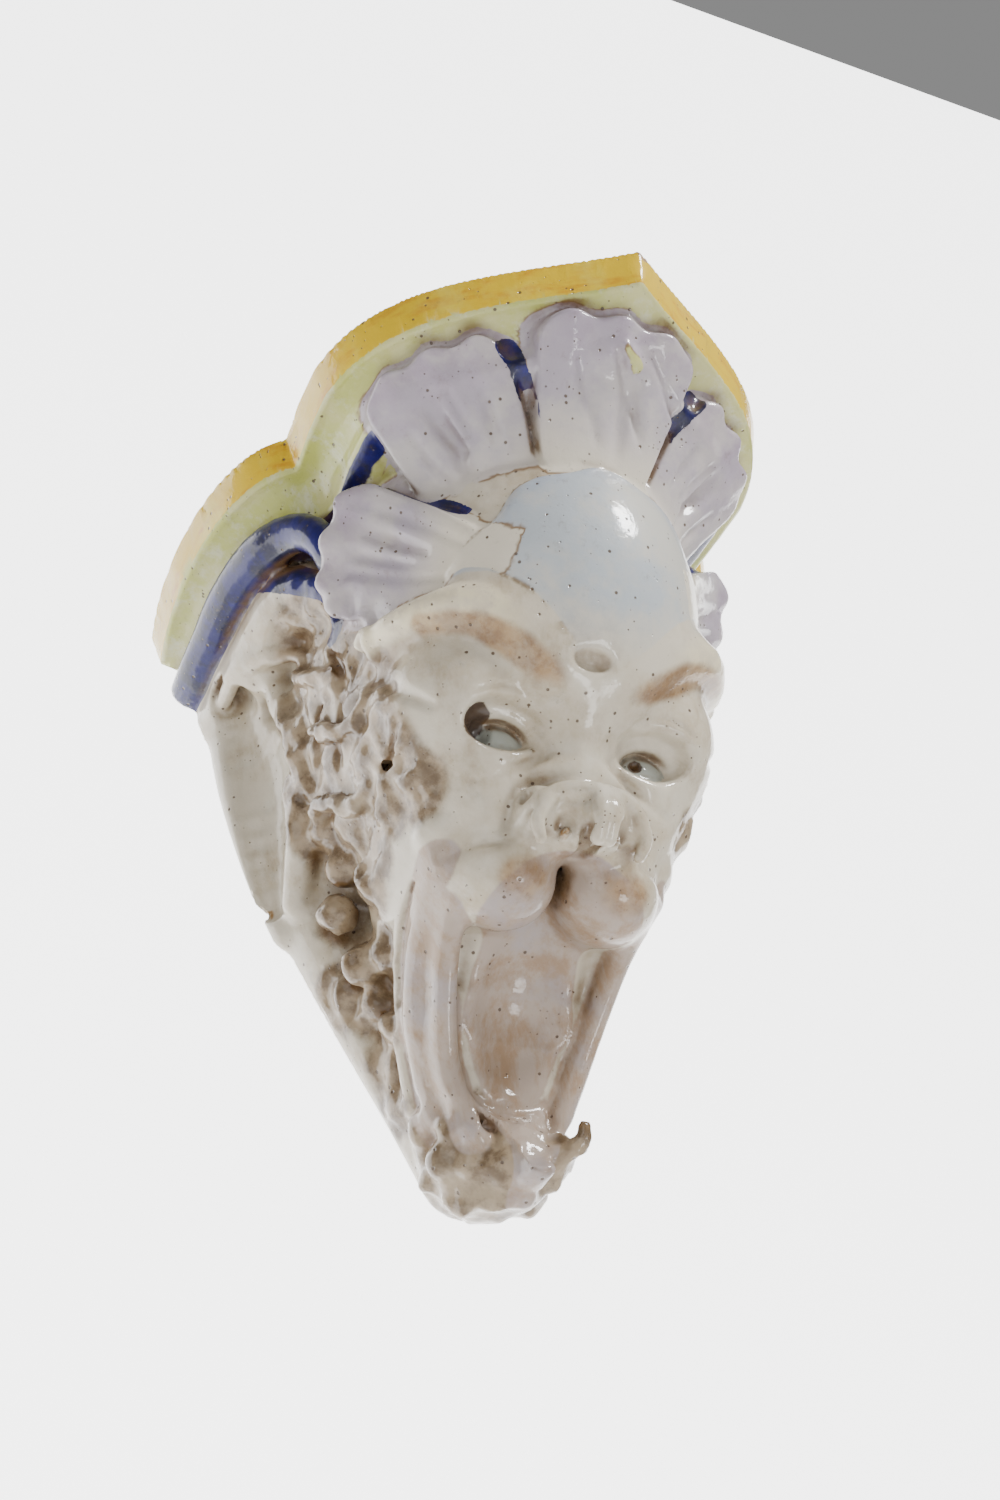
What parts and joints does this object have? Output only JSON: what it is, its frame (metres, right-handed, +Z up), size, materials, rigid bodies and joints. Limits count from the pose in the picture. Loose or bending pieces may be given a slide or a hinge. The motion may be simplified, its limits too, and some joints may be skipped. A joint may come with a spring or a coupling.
{
  "type": "grotesque mask wall shelf",
  "caption": "Glazed earthenware wall shelf with a pointed lobed top, carried by an open-mouthed grotesque mask under a crown of fluted leaves.",
  "frame": {"origin": "middle of the shelf's back edge, on the wall plane, half the lip's height below the shelf's top", "axes": "+Z up, -Y away from the wall along the mask's gaze, +X to the right for someone who faces the mask"},
  "size_m": [0.3178, 0.341, 0.4004],
  "materials": {
    "glazed_earthenware": "glossy tin glaze, cream and lilac white with yellow, green, cobalt blue and manganese brown, pinholes and small chips"
  },
  "bodies": {
    "root": {"mask_shelf": "glazed_earthenware"}
  },
  "joints": []
}
